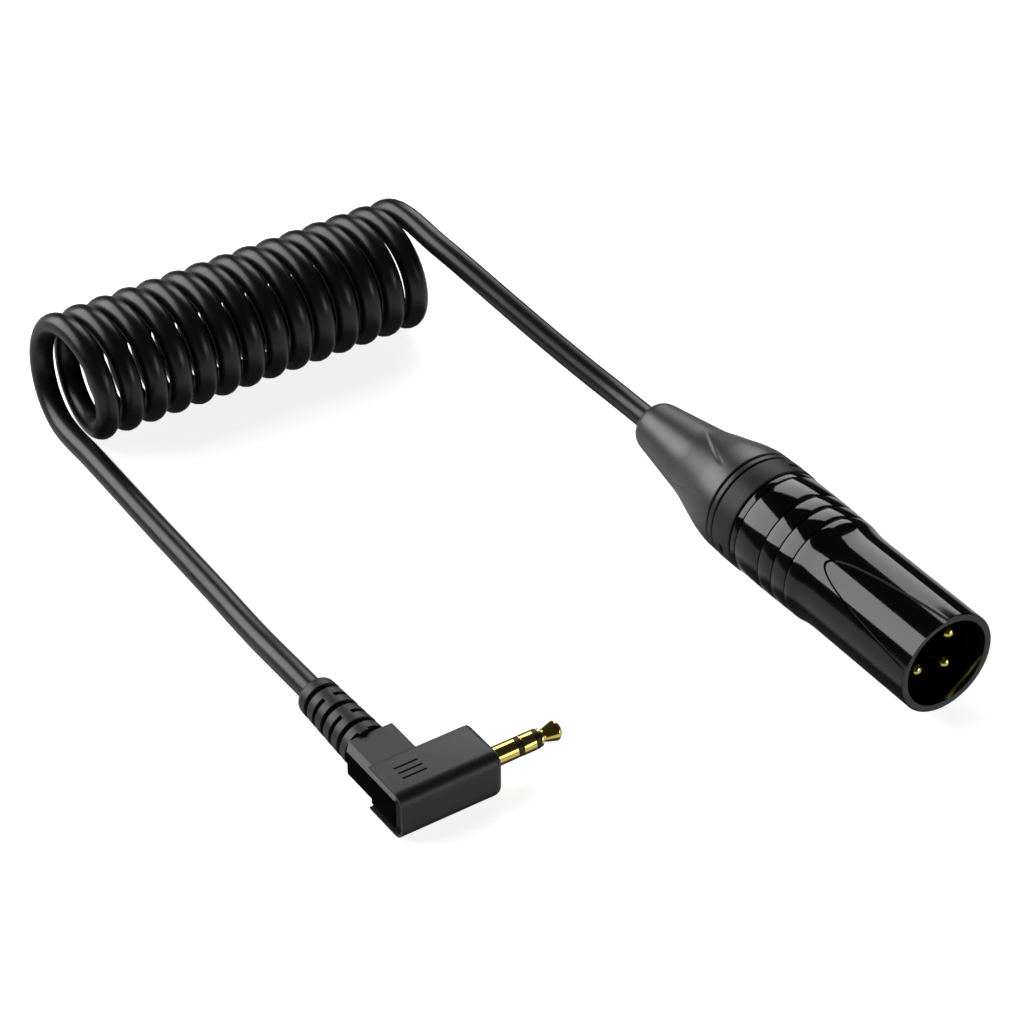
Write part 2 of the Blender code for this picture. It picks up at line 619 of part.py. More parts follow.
def plug_wires():
    """The three conductors, from the jack's rear ends round the corner into the cable arm."""
    start_x = PLUG_FACE_X
    end_y = -3.3
    routes = {
        "plug_wire_tip": (WIRE_RED, [
            (start_x - 8.8, PIN_Y, PLUG_Z), (start_x - 11.5, PIN_Y + 0.3, PLUG_Z),
            (ARM_X + 0.9, PIN_Y + 4.3, PLUG_Z + 0.3), (ARM_X, end_y, RELIEF_Z)]),
        "plug_wire_ring": (WIRE_WHITE, [
            (start_x - 5.6, PIN_Y, PLUG_Z + 1.75), (start_x - 9.5, PIN_Y + 0.2, PLUG_Z + 1.9),
            (ARM_X + 1.2, PIN_Y + 4.0, PLUG_Z + 1.8), (ARM_X, end_y, RELIEF_Z + 1.3)]),
        "plug_wire_screen": (WIRE_COPPER, [
            (start_x - 4.4, PIN_Y, PLUG_Z - 2.0), (start_x - 8.5, PIN_Y + 0.2, PLUG_Z - 1.9),
            (ARM_X + 1.2, PIN_Y + 4.0, PLUG_Z - 0.9), (ARM_X, end_y, RELIEF_Z - 1.3)]),
    }
    for name, (finish, route) in routes.items():
        tube(name, route, 0.42, 1.3, 1, finish)


# ---------------------------------------------------------------- cord
def cord():
    """The two free stretches and the coil, which is a tube of the coil's outer diameter."""
    spacing = 5.0 * CORD_RADIUS
    tube("cord_xlr_side", XLR_ROUTE, CORD_RADIUS, spacing, 2, CORD_JACKET)
    tube("cord_plug_side", PLUG_ROUTE, CORD_RADIUS, spacing, 2, CORD_JACKET)
    inner = COIL_RADIUS - CORD_RADIUS
    length = COIL_X0 - COIL_X1 + 2.0 * CORD_RADIUS
    outline = [(0.0, inner), (0.0, COIL_OUTER), (length, COIL_OUTER), (length, inner)]
    axis = frame("coil_axis", (COIL_X1 - CORD_RADIUS, COIL_Y, COIL_Z), Matrix.Rotation(math.pi / 2, 4, "Y"))
    add_object("cord_coil", turned(outline, 40), CORD_JACKET, axis)


def main():
    clear_scene()
    turn = Matrix.Rotation(-math.pi / 2, 4, "X")
    shell_axis = frame("xlr_axis", (XLR_X, MOUTH_Y, XLR_Z), turn)
    xlr_shell(shell_axis)
    xlr_insert(shell_axis)
    xlr_pins(shell_axis)
    xlr_chuck(shell_axis)
    xlr_wires()
    ring_axis = frame("ring_axis", (XLR_X, MOUTH_Y, XLR_Z), turn)
    xlr_coding_ring(ring_axis)
    boot_axis = frame("boot_axis", (XLR_X, MOUTH_Y, XLR_Z), turn)
    xlr_gland_nut(boot_axis)
    xlr_boot_sleeve(boot_axis)
    plug_housing()
    plug_core()
    plug_strain_relief()
    jack()
    plug_wires()
    cord()


main()
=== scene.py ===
import math
import bpy
import bmesh
import numpy as np
from mathutils import Matrix, Vector


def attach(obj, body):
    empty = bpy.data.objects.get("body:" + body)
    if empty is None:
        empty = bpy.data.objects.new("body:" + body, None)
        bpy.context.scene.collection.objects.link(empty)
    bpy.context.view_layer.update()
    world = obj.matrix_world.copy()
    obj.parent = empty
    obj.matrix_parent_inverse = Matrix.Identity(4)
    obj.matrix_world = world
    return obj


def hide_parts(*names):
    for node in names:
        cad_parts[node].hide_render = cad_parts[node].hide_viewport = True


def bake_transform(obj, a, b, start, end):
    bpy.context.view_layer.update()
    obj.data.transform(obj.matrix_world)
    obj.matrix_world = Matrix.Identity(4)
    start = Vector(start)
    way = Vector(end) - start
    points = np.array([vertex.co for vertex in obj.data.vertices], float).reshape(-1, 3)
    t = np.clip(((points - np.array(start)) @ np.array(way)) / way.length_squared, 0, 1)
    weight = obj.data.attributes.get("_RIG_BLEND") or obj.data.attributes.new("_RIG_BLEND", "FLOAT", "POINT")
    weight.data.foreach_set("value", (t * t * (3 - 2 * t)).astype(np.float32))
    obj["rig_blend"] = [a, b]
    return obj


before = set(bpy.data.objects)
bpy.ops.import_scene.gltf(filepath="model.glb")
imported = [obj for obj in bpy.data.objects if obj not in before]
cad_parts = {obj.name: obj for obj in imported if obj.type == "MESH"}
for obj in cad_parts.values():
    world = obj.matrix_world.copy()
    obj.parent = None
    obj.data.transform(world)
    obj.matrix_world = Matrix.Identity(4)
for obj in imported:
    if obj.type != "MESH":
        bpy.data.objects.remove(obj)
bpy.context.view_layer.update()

MM = 0.001
IOR = 1.5
SMOOTH_ANGLE = 32.0          # degrees between two faces, above which their edge is drawn sharp
DRIFT_SIZE = 7.0             # millimetres across which a surface's colour drifts

CAMERA_PLACE = (-0.25146, -0.34918, 0.35384)
CAMERA_HEADING = math.radians(56.2)
CAMERA_PITCH = math.radians(36.75)
CAMERA_LENS = 116.0
LIGHT_DISTANCE = 0.9         # metres from the XLR plug to each softbox
FLOOR_GLOW = 0.85

# ---------------------------------------------------------------- driving dimensions, in millimetres
HALF_WIDTH = 50.9
HALF_DEPTH = 41.0

CORD_RADIUS = 2.2
COIL_RADIUS = 10.4
COIL_PITCH = 5.1
COIL_TURNS = 14.5
COIL_START = (30.4, 109.2)
COIL_STEPS = 40              # rings of the cord in each turn of the coil
CORD_SIDES = 22
CORD_SPACING = 1.9           # between rings on the free stretches

SHELL_RADIUS = 9.5
SHELL_REAR_RADIUS = 10.15
SHELL_REAR = 45.7
SHELL_GROOVES = ((30.7, 10.0), (34.3, 10.08), (37.9, SHELL_REAR_RADIUS))
BORE_RADIUS = 8.15
THREAD_BORE = 8.75
RING_RADIUS = 10.3
RING_FRONT = 46.0
RING_REAR = 50.7
XLR_LENGTH = 2.0 * HALF_DEPTH
ROLL = math.radians(129.0)
NUT_FLANGE = 51.0
NUT_REAR = 66.0              # where the cord leaves the gland nut for the soft boot
SLEEVE_FRONT = 52.5
THREAD_PITCH = 1.5
XLR_PIN_RADIUS = 1.2
XLR_PIN_CIRCLE = 4.1
XLR_PIN_SPREAD = math.radians(98.0)
RELIEF_APEX = 25.3           # how far the U-shaped flat runs back from the mouth
RELIEF_SPREAD = math.radians(36.0)

JACK_RADIUS = 1.75
JACK_LENGTH = 14.0
PLUG_LENGTH = 19.4
PLUG_DEPTH = 9.9
PLUG_HEIGHT = 9.0
PLUG_FRONT_Y = -18.55
PLUG_WALL = 1.3
PLUG_SIDE_ROUND = 2.4
PLUG_FACE_ROUND = 1.5
GRIP_MARK_LENGTH = 4.5
GRIP_MARK_PITCH = 1.35
ARM_WIDTH = 9.2
ARM_DEPTH = 7.6
ARM_LOW = 1.6
MOUTH_WALL = 0.4
CORE_THICK = 2.3
CORE_CHAMFER = 1.0
CORE_CORNER = 1.8
RELIEF_COLLAR = 2.85         # the relief's smooth collar, inside the arm's bore
CAVITY_HALF_X = 2.1          # the wire channel, whose corners stay inside the bore
CAVITY_HALF_Z = 1.95
RELIEF_LENGTH = 16.5
GAP = 0.3
PIN_GAP = 0.1

XLR_X = HALF_WIDTH - RING_RADIUS
XLR_Z = RING_RADIUS
MOUTH_Y = -HALF_DEPTH
PLUG_BACK_X = -HALF_WIDTH
PLUG_FACE_X = PLUG_BACK_X + PLUG_LENGTH
PLUG_Z = PLUG_HEIGHT / 2.0
PIN_Y = PLUG_FRONT_Y + PLUG_DEPTH / 2.0
ARM_Y = PLUG_FRONT_Y + PLUG_DEPTH
ARM_END_Y = ARM_Y + ARM_DEPTH
ARM_X = PLUG_BACK_X + ARM_WIDTH / 2.0
CORE_LOW = MOUTH_WALL + GAP
CORE_HIGH = PLUG_HEIGHT - MOUTH_WALL - GAP
CORE_FRONT_Y = PLUG_FRONT_Y + MOUTH_WALL + GAP
RELIEF_Z = (ARM_LOW + CORE_HIGH) / 2.0
COIL_X, COIL_Y = COIL_START
COIL_Z = COIL_RADIUS + CORD_RADIUS
CORD_CLEAR_Y = COIL_Y - 10.7

XLR_ROUTE = [
    (XLR_X, 2.0, XLR_Z),
    (XLR_X, 20.0, XLR_Z),
    (XLR_X, 38.0, XLR_Z),
    (40.5, 44.5, 10.3),
    (40.0, 51.5, 10.8),
    (38.3, 60.0, 12.6),
    (36.3, 69.5, 15.0),
    (34.1, 80.0, 17.9),
    (32.0, 91.0, 20.8),
    (30.9, CORD_CLEAR_Y, 22.2),
]
PLUG_ROUTE = [
    (ARM_X, -2.9, RELIEF_Z),
    (ARM_X, 6.0, RELIEF_Z),
    (ARM_X, 14.5, RELIEF_Z),
    (ARM_X + 0.1, 20.5, 4.7),
    (-45.9, 27.5, 4.0),
    (-45.4, 35.0, 3.0),
    (-44.9, 43.0, 2.35),
    (-44.6, 51.0, CORD_RADIUS),
    (-44.4, 63.0, CORD_RADIUS),
    (-44.2, 76.0, CORD_RADIUS),
    (-43.9, 89.0, CORD_RADIUS),
    (-43.7, CORD_CLEAR_Y, CORD_RADIUS),
]


# ---------------------------------------------------------------- camera
def make_camera():
    """A long lens, looking down on the cable from its left and front."""
    data = bpy.data.cameras.new("camera")
    data.lens = CAMERA_LENS
    data.sensor_width = 36.0
    data.clip_start = 0.01
    data.clip_end = 20.0
    camera = bpy.data.objects.new("camera", data)
    camera.location = CAMERA_PLACE
    forward = Vector((math.cos(CAMERA_HEADING) * math.cos(CAMERA_PITCH),
                      math.sin(CAMERA_HEADING) * math.cos(CAMERA_PITCH), -math.sin(CAMERA_PITCH)))
    camera.rotation_mode = "QUATERNION"
    camera.rotation_quaternion = forward.to_track_quat("-Z", "Y")
    bpy.context.scene.collection.objects.link(camera)
    bpy.context.scene.camera = camera


# ---------------------------------------------------------------- materials
def finish(name, low, high, rough, grain, bump, metallic=0.0, specular=0.5):
    """A procedural surface: colour and roughness drift between two values, with a fine grain.

    grain is the size of the grain in millimetres and bump its depth in millimetres.
    """
    material = bpy.data.materials.new(name)
    material.use_nodes = True
    nodes, links = material.node_tree.nodes, material.node_tree.links
    shader = nodes["Principled BSDF"]
    shader.inputs["Metallic"].default_value = metallic
    shader.inputs["IOR"].default_value = IOR
    shader.inputs["Specular IOR Level"].default_value = specular
    place = nodes.new("ShaderNodeTexCoord")

    def noise(size_mm, detail, roughness=0.55):
        node = nodes.new("ShaderNodeTexNoise")
        node.inputs["Scale"].default_value = 1.0 / (size_mm * MM)
        node.inputs["Detail"].default_value = detail
        node.inputs["Roughness"].default_value = roughness
        links.new(place.outputs["Object"], node.inputs["Vector"])
        return node

    def ramp(source, start, end, first, last):
        node = nodes.new("ShaderNodeMapRange")
        node.inputs["From Min"].default_value = start
        node.inputs["From Max"].default_value = end
        node.inputs["To Min"].default_value = first
        node.inputs["To Max"].default_value = last
        links.new(source, node.inputs["Value"])
        return node.outputs["Result"]

    broad = noise(DRIFT_SIZE, 3.0)
    fine = noise(grain, 4.0, 0.6)
    mix = nodes.new("ShaderNodeMix")
    mix.data_type = "RGBA"
    mix.inputs["A"].default_value = (*low, 1.0)
    mix.inputs["B"].default_value = (*high, 1.0)
    links.new(ramp(broad.outputs["Fac"], 0.3, 0.7, 0.0, 1.0), mix.inputs["Factor"])
    links.new(mix.outputs["Result"], shader.inputs["Base Color"])
    links.new(ramp(fine.outputs["Fac"], 0.3, 0.7, rough[0], rough[1]), shader.inputs["Roughness"])
    relief = nodes.new("ShaderNodeBump")
    relief.inputs["Strength"].default_value = 1.0
    relief.inputs["Distance"].default_value = bump * MM
    links.new(fine.outputs["Fac"], relief.inputs["Height"])
    links.new(relief.outputs["Normal"], shader.inputs["Normal"])
    return material


def grey(value):
    return (value, value, value * 1.02)


def make_materials():
    made = {}
    made["black_chrome"] = finish("black_chrome", grey(0.0015), grey(0.003), (0.05, 0.10), 0.9, 0.0002,
                                  specular=0.55)
    made["gold_plate"] = finish("gold_plate", (1.0, 0.80, 0.21), (0.97, 0.75, 0.18), (0.09, 0.17), 0.3,
                                0.0006, metallic=1.0)
    made["insert_plastic"] = finish("insert_plastic", grey(0.008), grey(0.012), (0.38, 0.5), 0.12, 0.003)
    made["ring_plastic"] = finish("ring_plastic", grey(0.016), grey(0.021), (0.42, 0.50), 0.10, 0.003,
                                  specular=0.3)
    made["nut_plastic"] = finish("nut_plastic", grey(0.014), grey(0.020), (0.32, 0.42), 0.12, 0.003)
    made["chuck_plastic"] = finish("chuck_plastic", (0.62, 0.60, 0.54), (0.68, 0.66, 0.60),
                                   (0.4, 0.5), 0.15, 0.003)
    made["boot_rubber"] = finish("boot_rubber", grey(0.022), grey(0.028), (0.34, 0.42), 0.09, 0.004,
                                 specular=0.9)
    made["plug_plastic"] = finish("plug_plastic", grey(0.010), grey(0.014), (0.38, 0.46), 0.11, 0.005,
                                  specular=0.62)
    made["relief_rubber"] = finish("relief_rubber", grey(0.010), grey(0.014), (0.40, 0.48), 0.10, 0.005)
    made["cord_jacket"] = finish("cord_jacket", grey(0.004), grey(0.007), (0.28, 0.36), 0.12, 0.003)
    made["wire_red"] = finish("wire_red", (0.45, 0.012, 0.010), (0.55, 0.02, 0.014), (0.3, 0.4), 0.2, 0.002)
    made["wire_white"] = finish("wire_white", grey(0.70), grey(0.78), (0.3, 0.4), 0.2, 0.002)
    made["wire_copper"] = finish("wire_copper", (0.72, 0.30, 0.15), (0.80, 0.38, 0.20), (0.2, 0.34),
                                 0.15, 0.010, metallic=1.0)
    # painted shade: the core's -X end face gets a near-black finish with no specular reflection, standing for
    # the shade that end lies in away from the lamps
    made["core_end_painted_shade"] = finish("core_end_painted_shade", grey(0.002), grey(0.003), (0.55, 0.65), 0.12, 0.004, specular=0.0)
    made["floor"] = finish("floor", grey(0.86), grey(0.88), (0.7, 0.8), 2.0, 0.01, specular=0.2)
    return made


# ---------------------------------------------------------------- mesh helpers, in millimetres
def finished(name, bm, slot, smooth_angle=SMOOTH_ANGLE):
    """Turn a bmesh in millimetres into a named object with its material."""
    bmesh.ops.remove_doubles(bm, verts=bm.verts, dist=0.0004)
    bmesh.ops.recalc_face_normals(bm, faces=bm.faces)
    bmesh.ops.scale(bm, vec=(MM, MM, MM), verts=bm.verts)
    mesh = bpy.data.meshes.new(name)
    bm.to_mesh(mesh)
    bm.free()
    shade(mesh, smooth_angle)
    obj = bpy.data.objects.new(name, mesh)
    bpy.context.scene.collection.objects.link(obj)
    if slot is not None:
        mesh.materials.append(MATERIALS[slot])
    return obj


def shade(mesh, smooth_angle):
    """Smooth shading, with a crease wherever two faces meet at more than smooth_angle degrees."""
    mesh.shade_smooth()
    mesh.set_sharp_from_angle(angle=math.radians(smooth_angle))


def cut(obj, cutters):
    """Subtract the cutters from obj for good."""
    for cutter in cutters:
        boolean = obj.modifiers.new(cutter.name, "BOOLEAN")
        boolean.operation = "DIFFERENCE"
        boolean.solver = "EXACT"
        boolean.object = cutter
    bpy.context.view_layer.update()
    evaluated = obj.evaluated_get(bpy.context.evaluated_depsgraph_get())
    mesh = bpy.data.meshes.new_from_object(evaluated)
    obj.modifiers.clear()
    old = obj.data
    obj.data = mesh
    bpy.data.meshes.remove(old)
    mesh.name = obj.name
    shade(mesh, SMOOTH_ANGLE)
    for cutter in cutters:
        bpy.data.objects.remove(cutter)
    return obj


def eased(points, steps=5):
    """Round the corners of a closed outline: a third value is how far back each corner's curve starts."""
    result = []
    count = len(points)
    for i, point in enumerate(points):
        here = Vector(point[:2])
        if len(point) < 3:
            result.append(tuple(here))
            continue
        before = Vector(points[i - 1][:2]) - here
        after = Vector(points[(i + 1) % count][:2]) - here
        start = here + before.normalized() * min(point[2], before.length * 0.49)
        end = here + after.normalized() * min(point[2], after.length * 0.49)
        for step in range(steps + 1):
            t = step / steps
            result.append(tuple(start * (1 - t) ** 2 + here * 2 * t * (1 - t) + end * t * t))
    return result


def turned(outline, segments, place, swell=None):
    """Revolve a closed outline of (distance, radius) points; place turns (distance, radius, angle)
    into a point, and swell adds to the radius."""
    bm = bmesh.new()
    rings = []
    for along, radius in outline:
        if radius < 1e-6:
            rings.append([bm.verts.new(place(along, 0.0, 0.0))])
            continue
        ring = []
        for step in range(segments):
            angle = 2.0 * math.pi * step / segments
            extra = swell(along, radius, angle) if swell else 0.0
            ring.append(bm.verts.new(place(along, radius + extra, angle)))
        rings.append(ring)
    for first, second in zip(rings, rings[1:] + rings[:1]):
        bridge(bm, first, second)
    return bm


def bridge(bm, first, second):
    """Join two rings, or a ring and a point on the axis."""
    if len(first) == 1 and len(second) == 1:
        return
    count = max(len(first), len(second))
    for i in range(count):
        j = (i + 1) % count
        corners = []
        for ring, index in ((first, i), (first, j), (second, j), (second, i)):
            vert = ring[index] if len(ring) > 1 else ring[0]
            if vert not in corners:
                corners.append(vert)
        bm.faces.new(corners)


def box(low, high, round_edges=0.0, round_steps=4, pick=None):
    """A block between two corners; pick chooses the edges that are rounded, or all of them."""
    bm = bmesh.new()
    bmesh.ops.create_cube(bm, size=1.0)
    bmesh.ops.scale(bm, vec=Vector(high) - Vector(low), verts=bm.verts)
    bmesh.ops.translate(bm, vec=(Vector(high) + Vector(low)) / 2.0, verts=bm.verts)
    if round_edges > 0.0:
        edges = [edge for edge in bm.edges if pick is None or pick(edge)]
        bmesh.ops.bevel(bm, geom=edges, offset=round_edges, segments=round_steps,
                        profile=0.5, affect="EDGES", clamp_overlap=True)
    return bm


def along_axis(edge, axis):
    """True when an edge of a block runs along the given axis."""
    start, end = edge.verts[0].co, edge.verts[1].co
    return abs(end[axis] - start[axis]) > 1e-6


def subdivided(outline, step):
    """Add points to a closed outline so that no two are further apart than step along it."""
    result = []
    for start, end in zip(outline, outline[1:] + outline[:1]):
        a, b = Vector(start), Vector(end)
        count = max(1, math.ceil((b - a).length / step))
        result += [tuple(a.lerp(b, i / count)) for i in range(count)]
    return result


def xlr_place(along, radius, angle):
    """XLR plug: distance behind the mouth; the angle turns from +X towards +Z."""
    return (XLR_X + radius * math.cos(angle), MOUTH_Y + along, XLR_Z + radius * math.sin(angle))


def jack_place(along, radius, angle):
    """Jack pin: distance from the housing's face towards the tip."""
    return (PLUG_FACE_X + along, PIN_Y + radius * math.cos(angle), PLUG_Z + radius * math.sin(angle))


def relief_place(along, radius, angle):
    """Strain relief: distance from the cable arm's face towards the cord."""
    return (ARM_X + radius * math.cos(angle), ARM_END_Y + along, RELIEF_Z + radius * math.sin(angle))


def piece(obj, body, slot, *nodes):
    """Hang a piece on the body it rides on and hide the CAD nodes it stands for; slot is not used."""
    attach(obj, body)
    if nodes:
        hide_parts(*nodes)
    return obj


# ---------------------------------------------------------------- cord
def smooth_path(points, spacing, before, after):
    """Evenly spaced points on a Catmull-Rom curve; before and after steer its two ends."""
    knots = [Vector(before)] + [Vector(p) for p in points] + [Vector(after)]
    fine = []
    steps = 24
    for a, b, c, d in zip(knots, knots[1:], knots[2:], knots[3:]):
        for step in range(steps):
            t = step / steps
            fine.append(0.5 * (2.0 * b + (c - a) * t + (2.0 * a - 5.0 * b + 4.0 * c - d) * t * t
                               + (3.0 * b - a - 3.0 * c + d) * t * t * t))
    fine.append(knots[-2])
    reach = np.cumsum([0.0] + [(q - p).length for p, q in zip(fine, fine[1:])])
    count = max(2, round(reach[-1] / spacing))
    wanted = np.linspace(0.0, reach[-1], count + 1)
    table = np.array(fine)
    return [Vector([np.interp(w, reach, table[:, axis]) for axis in range(3)]) for w in wanted]


def coil_point(turn):
    """A point of the coil's centre line, in turns from the end nearest the XLR plug."""
    angle = 2.0 * math.pi * turn
    return Vector((COIL_X - COIL_PITCH * turn, COIL_Y + COIL_RADIUS * math.sin(angle),
                   COIL_Z + COIL_RADIUS * math.cos(angle)))


def cord_path():
    """The whole centre line, and how far the coil has stretched at each point: 0 at first, 1 at last."""
    nudge = 0.02
    top, bottom = coil_point(0.0), coil_point(COIL_TURNS)
    lead_in = (coil_point(nudge) - top).normalized()
    lead_out = (bottom - coil_point(COIL_TURNS - nudge)).normalized()
    last = Vector(XLR_ROUTE[-1])
    inner = Vector(XLR_ROUTE[0]) * 2.0 - Vector(XLR_ROUTE[1])
    first = smooth_path(XLR_ROUTE + [tuple(top)], CORD_SPACING, inner,
                        last + lead_in * 2.0 * (top - last).length)
    turns = round(COIL_TURNS * COIL_STEPS)
    coil = [coil_point(COIL_TURNS * i / turns) for i in range(1, turns)]
    back = list(reversed(PLUG_ROUTE))
    clear = Vector(back[0])
    beyond = Vector(back[-1]) * 2.0 - Vector(back[-2])
    final = smooth_path([tuple(bottom)] + back, CORD_SPACING,
                        clear - lead_out * 2.0 * (clear - bottom).length, beyond)
    path = first + coil + final
    share = [0.0] * len(first) + [i / turns for i in range(1, turns)] + [1.0] * len(final)
    return path, share


def make_cord():
    """One continuous cord, whose coil stretches evenly from its first turn to its last."""
    path, share = cord_path()
    bm = bmesh.new()
    weight = bm.verts.layers.float.new("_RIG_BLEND")
    up = Vector((0.0, 0.0, 1.0))
    rings = []
    for i, point in enumerate(path):
        ahead = path[min(i + 1, len(path) - 1)] - path[max(i - 1, 0)]
        ahead.normalize()
        up = (up - ahead * up.dot(ahead)).normalized()
        side = ahead.cross(up)
        ring = []
        for step in range(CORD_SIDES):
            angle = 2.0 * math.pi * step / CORD_SIDES
            offset = (side * math.cos(angle) + up * math.sin(angle)) * CORD_RADIUS
            vert = bm.verts.new((point + offset) * MM)
            vert[weight] = share[i]
            ring.append(vert)
        rings.append(ring)
    for first, second in zip(rings, rings[1:]):
        bridge(bm, first, second)
    bm.faces.new(rings[0])
    bm.faces.new(reversed(rings[-1]))
    bmesh.ops.recalc_face_normals(bm, faces=bm.faces)
    mesh = bpy.data.meshes.new("cord")
    bm.to_mesh(mesh)
    bm.free()
    shade(mesh, 50.0)
    mesh.materials.append(MATERIALS["cord_jacket"])
    cord = bpy.data.objects.new("cord", mesh)
    bpy.context.scene.collection.objects.link(cord)
    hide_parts("cord_xlr_side", "cord_coil", "cord_plug_side")
    weights = np.zeros(len(mesh.vertices), np.float32)
    mesh.attributes["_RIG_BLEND"].data.foreach_get("value", weights)
    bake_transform(cord, "xlr_side", "plug_side", coil_point(0.0) * MM, coil_point(COIL_TURNS) * MM)
    mesh.attributes["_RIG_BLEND"].data.foreach_set("value", weights)
    return cord


# ---------------------------------------------------------------- XLR plug
def groove(along, radius, width=0.3, depth=0.2):
    """A fine groove with softened shoulders in a turned outer surface."""
    half = width / 2.0
    return [(along - half - 0.06, radius), (along - half, radius - 0.02), (along - 0.07, radius - depth),
            (along + 0.07, radius - depth), (along + half, radius - 0.02), (along + half + 0.06, radius)]


def make_shell():
    """The black chromed nose and body with its U-shaped flat."""
    rear = SHELL_REAR_RADIUS
    outer = [(0.0, SHELL_RADIUS, 0.22), (25.2, SHELL_RADIUS, 0.8), (27.4, 9.62, 0.8), (29.4, 9.98, 0.6)]
    for along, radius in SHELL_GROOVES:
        outer += groove(along, radius)
    outer += groove(44.3, rear, 0.26, 0.16)
    outer += [(SHELL_REAR, rear, 0.22)]
    inner = [(SHELL_REAR, THREAD_BORE, 0.15), (33.0, THREAD_BORE), (33.0, BORE_RADIUS),
             (0.0, BORE_RADIUS, 0.12)]
    shell = finished("xlr_shell_surface", turned(eased(outer + inner), 180, xlr_place), "black_chrome")
    cut(shell, [relief_cutter()])
    piece(shell, "xlr_side", "black_chrome", "xlr_shell")


def relief_cutter():
    """The space above the U-shaped flat: widest at the mouth, closing to a round apex."""
    floor = SHELL_RADIUS - 0.38
    top = SHELL_RADIUS + 1.0
    stations = 40
    across = 24
    bm = bmesh.new()
    layers = []
    for i in range(stations + 1):
        share = i / stations
        along = -1.0 + (RELIEF_APEX + 1.0) * (1.0 - share * share)
        inside = max(0.0, 1.0 - max(along, 0.0) / RELIEF_APEX)
        spread = max(RELIEF_SPREAD * math.sqrt(inside), math.radians(0.6))
        layer = []
        for radius in (floor, top):
            for j in range(across + 1):
                angle = ROLL + spread * (2.0 * j / across - 1.0)
                layer.append(bm.verts.new(xlr_place(along, radius, angle)))
        layers.append(layer)
    width = across + 1
    for first, second in zip(layers, layers[1:]):
        for j in range(across):
            k = j + width
            bm.faces.new((first[j], first[j + 1], second[j + 1], second[j]))
            bm.faces.new((first[k], first[k + 1], second[k + 1], second[k]))
        for j in (0, across):
            k = j + width
            bm.faces.new((first[j], first[k], second[k], second[j]))
    for layer in (layers[0], layers[-1]):
        for j in range(across):
            k = j + width
            bm.faces.new((layer[j], layer[j + 1], layer[k + 1], layer[k]))
    return finished("cutter_relief", bm, None)


def make_pins():
    """Three gold contacts with round noses and solder cups."""
    tip, rear, cup = 2.5, 37.5, 0.85
    radius = XLR_PIN_RADIUS
    third = ROLL + math.pi
    outline = [(tip, 0.0)]
    outline += [(tip + 1.2 * (1.0 - math.cos(math.radians(d))), radius * math.sin(math.radians(d)))
                for d in range(10, 91, 10)]
    outline += [(rear, radius), (rear, cup), (rear - 3.0, cup), (rear - 3.0, 0.0)]
    for number, angle in enumerate((third - XLR_PIN_SPREAD, third + XLR_PIN_SPREAD, third), 1):
        x = XLR_PIN_CIRCLE * math.cos(angle)
        z = XLR_PIN_CIRCLE * math.sin(angle)

        def place(along, r, turn):
            return (XLR_X + x + r * math.cos(turn), MOUTH_Y + along, XLR_Z + z + r * math.sin(turn))

        pin = finished(f"xlr_pin_{number}_surface", turned(outline, 40, place), "gold_plate")
        piece(pin, "xlr_side", "gold_plate", f"xlr_pin_{number}")


def make_ring():
    """The satin identification ring with its two small windows."""
    inner = 8.5
    outline = eased([(RING_FRONT, inner, 0.1), (RING_FRONT, RING_RADIUS, 0.28),
                     (RING_REAR, RING_RADIUS, 0.28), (RING_REAR, inner, 0.1)])
    ring = finished("xlr_ring_surface", turned(outline, 144, xlr_place), "ring_plastic")
    middle = (RING_FRONT + RING_REAR) / 2.0
    cutters = []
    for number, degrees in enumerate((60.0, 196.0), 1):
        window = box((8.0, middle - 0.45, -1.1), (12.0, middle + 0.45, 1.1), 0.3, 4,
                     lambda edge: along_axis(edge, 0))
        bmesh.ops.rotate(window, cent=(0, 0, 0), verts=window.verts,
                         matrix=Matrix.Rotation(-math.radians(degrees), 3, "Y"))
        bmesh.ops.translate(window, vec=(XLR_X, MOUTH_Y, XLR_Z), verts=window.verts)
        cutters.append(finished(f"cutter_window_{number}", window, None))
    cut(ring, cutters)
    piece(ring, "coding_ring", "ring_plastic", "xlr_coding_ring")


def make_nut():
    """The gland nut: a screw thread on its nose and the bead that shows in front of the boot."""
    root = 8.3
    crest = 0.38
    start, end = 37.6, 45.0
    outline = eased([(36.5, 7.25), (36.5, root, 0.3), (45.4, root), (45.4, 8.2),
                     (NUT_FLANGE, 8.2), (NUT_FLANGE, 10.22, 0.3), (SLEEVE_FRONT - GAP, 10.22, 0.3),
                     (SLEEVE_FRONT - GAP, 7.6), (59.0, 7.2), (NUT_REAR, 4.9), (NUT_REAR, 2.6),
                     (52.0, 2.6), (49.6, 5.7), (44.0, 7.25)])

    def thread(along, radius, angle):
        if radius < root - 0.05 or radius > root + 0.05 or not start < along < end:
            return 0.0
        phase = (along / THREAD_PITCH + angle / (2.0 * math.pi)) % 1.0
        ends = min(1.0, (along - start) / 0.8, (end - along) / 0.8)
        return crest * ends * max(0.0, min(1.0, 1.6 - abs(phase - 0.5) * 4.4))

    nut = finished("xlr_nut_surface", turned(subdivided(outline, 0.16), 96, xlr_place, thread), "nut_plastic")
    piece(nut, "boot", "nut_plastic", "xlr_gland_nut")


